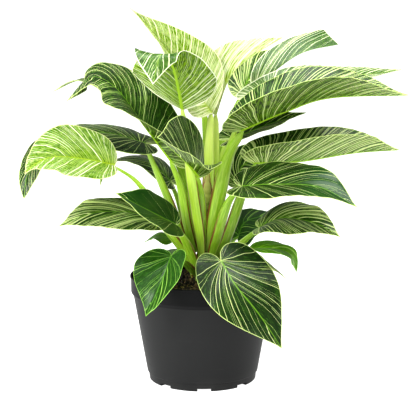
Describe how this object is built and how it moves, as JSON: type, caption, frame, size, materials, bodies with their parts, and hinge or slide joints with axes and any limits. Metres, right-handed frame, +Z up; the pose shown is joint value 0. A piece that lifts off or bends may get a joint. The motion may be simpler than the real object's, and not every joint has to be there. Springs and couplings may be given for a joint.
{
  "type": "potted philodendron",
  "caption": "Potted house plant: an upright clump of heart-shaped, pinstriped leaves on long stalks, growing from a short stem in a round, tapered nursery pot.",
  "frame": {"origin": "middle of the pot's underside, on the surface it stands on", "axes": "+Z up along the pot's axis; the plant's fullest side faces -Y; +X to the right seen from that side"},
  "size_m": [0.4431, 0.2506, 0.4142],
  "materials": {
    "pot_plastic": "charcoal moulded polypropylene, satin",
    "potting_mix": "moist bark and peat, loose and lumpy",
    "stem": "green, ringed by leaf scars",
    "leaf_stalk": "lime green, smooth and faintly ribbed, with dark red edges",
    "mature_blade": "dark green, glossy, with fine cream pinstripes along the veins",
    "young_blade": "mid green with broad cream stripes, semi-gloss",
    "pale_blade": "lime to cream with green streaks, semi-gloss",
    "old_blade": "plain green with a few faint stripes, glossy",
    "papery_sheath": "dry, brown and papery"
  },
  "bodies": {
    "root": {"nursery_pot": "pot_plastic", "potting_mix": "potting_mix", "stem": "stem", "papery_sheath": "papery_sheath", "leaf_crown_left_blade": "pale_blade", "leaf_crown_left_stalk": "leaf_stalk", "leaf_crown_right_blade": "pale_blade", "leaf_crown_right_stalk": "leaf_stalk", "leaf_front_arch_blade": "young_blade", "leaf_front_arch_stalk": "leaf_stalk", "leaf_left_large_blade": "mature_blade", "leaf_left_large_stalk": "leaf_stalk", "leaf_left_back_high_blade": "mature_blade", "leaf_left_back_high_stalk": "leaf_stalk", "leaf_left_lime_blade": "pale_blade", "leaf_left_lime_stalk": "leaf_stalk", "leaf_left_arching_blade": "mature_blade", "leaf_left_arching_stalk": "leaf_stalk", "leaf_left_mid_blade": "mature_blade", "leaf_left_mid_stalk": "leaf_stalk", "leaf_front_fold_blade": "mature_blade", "leaf_front_fold_stalk": "leaf_stalk", "leaf_right_large_blade": "mature_blade", "leaf_right_large_stalk": "leaf_stalk", "leaf_right_large_back_blade": "mature_blade", "leaf_right_large_back_stalk": "leaf_stalk", "leaf_right_top_blade": "young_blade", "leaf_right_top_stalk": "leaf_stalk", "leaf_right_top_back_blade": "mature_blade", "leaf_right_top_back_stalk": "leaf_stalk", "leaf_right_upper_blade": "mature_blade", "leaf_right_upper_stalk": "leaf_stalk", "leaf_right_mid_blade": "mature_blade", "leaf_right_mid_stalk": "leaf_stalk", "leaf_right_lower_blade": "mature_blade", "leaf_right_lower_stalk": "leaf_stalk", "leaf_right_small_blade": "old_blade", "leaf_right_small_stalk": "leaf_stalk", "leaf_front_right_heart_blade": "mature_blade", "leaf_front_right_heart_stalk": "leaf_stalk", "leaf_front_left_heart_blade": "old_blade", "leaf_front_left_heart_stalk": "leaf_stalk", "leaf_left_low_back_blade": "old_blade", "leaf_left_low_back_stalk": "leaf_stalk", "leaf_left_low_small_blade": "old_blade", "leaf_left_low_small_stalk": "leaf_stalk", "leaf_front_left_dark_blade": "mature_blade", "leaf_front_left_dark_stalk": "leaf_stalk", "leaf_left_lower_blade": "mature_blade", "leaf_left_lower_stalk": "leaf_stalk", "leaf_right_low_dark_blade": "old_blade", "leaf_right_low_dark_stalk": "leaf_stalk", "leaf_right_low_back_blade": "mature_blade", "leaf_right_low_back_stalk": "leaf_stalk", "leaf_centre_back_blade": "mature_blade", "leaf_centre_back_stalk": "leaf_stalk", "leaf_right_shaded_blade": "mature_blade", "leaf_right_shaded_stalk": "leaf_stalk", "leaf_back_high_blade": "mature_blade", "leaf_back_high_stalk": "leaf_stalk"}
  },
  "joints": []
}
